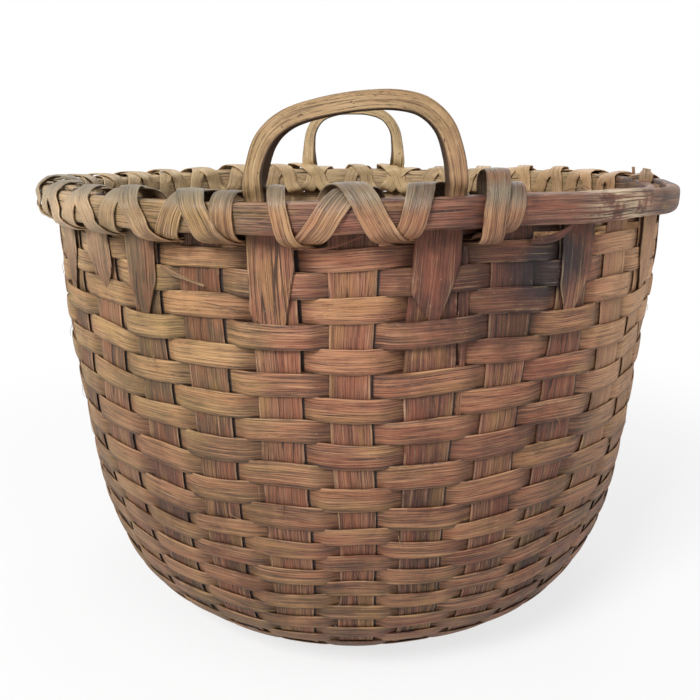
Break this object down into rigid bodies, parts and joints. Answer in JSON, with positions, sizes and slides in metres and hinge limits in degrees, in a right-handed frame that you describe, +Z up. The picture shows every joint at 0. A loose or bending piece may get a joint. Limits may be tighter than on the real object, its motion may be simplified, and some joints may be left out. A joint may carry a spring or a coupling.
{
  "type": "round splint basket",
  "caption": "Round woven wood-splint basket with a bellied wall, flat base, lashed double-hoop rim and two bent bow handles.",
  "frame": {"origin": "under the middle of the flat base, on the surface that the basket stands on", "axes": "+Z up through the mouth; the two handles stand at -Y (the near one in the picture) and +Y, and X runs across both handles"},
  "size_m": [0.4716, 0.4746, 0.3853],
  "materials": {
    "stake_wood": "old, dry, split ash",
    "weaver_wood": "old, dry, split ash, worn smooth",
    "hoop_wood": "shaved hardwood, worn to a dull sheen",
    "lashing_wood": "satin splint",
    "handle_wood": "shaved and bent hardwood, satin"
  },
  "bodies": {
    "root": {"splint_01": "stake_wood", "splint_02": "stake_wood", "splint_03": "stake_wood", "splint_04": "stake_wood", "splint_05": "stake_wood", "splint_06": "stake_wood", "splint_07": "stake_wood", "splint_08": "stake_wood", "splint_09": "stake_wood", "splint_10": "stake_wood", "splint_11": "stake_wood", "splint_12": "stake_wood", "splint_13": "stake_wood", "splint_14": "stake_wood", "splint_15": "stake_wood", "splint_16": "stake_wood", "weaver_00": "weaver_wood", "weaver_01": "weaver_wood", "weaver_02": "weaver_wood", "weaver_03": "weaver_wood", "weaver_04": "weaver_wood", "weaver_05": "weaver_wood", "weaver_06": "weaver_wood", "weaver_07": "weaver_wood", "weaver_08": "weaver_wood", "weaver_09": "weaver_wood", "weaver_10": "weaver_wood", "weaver_11": "weaver_wood", "weaver_12": "weaver_wood", "weaver_13": "weaver_wood", "weaver_14": "weaver_wood", "weaver_15": "weaver_wood", "weaver_16": "weaver_wood", "weaver_17": "weaver_wood", "weaver_18": "weaver_wood", "weaver_19": "weaver_wood", "weaver_20": "weaver_wood", "weaver_21": "weaver_wood", "weaver_22": "weaver_wood", "weaver_23": "weaver_wood", "weaver_24": "weaver_wood", "weaver_25": "weaver_wood", "weaver_26": "weaver_wood", "weaver_27": "weaver_wood", "weaver_28": "weaver_wood", "weaver_29": "weaver_wood", "weaver_30": "weaver_wood", "rim_hoop_outer": "hoop_wood", "rim_hoop_inner": "hoop_wood", "rim_lashing_under": "lashing_wood", "rim_lashing_over": "lashing_wood", "handle_front": "handle_wood", "handle_rear": "handle_wood"}
  },
  "joints": []
}
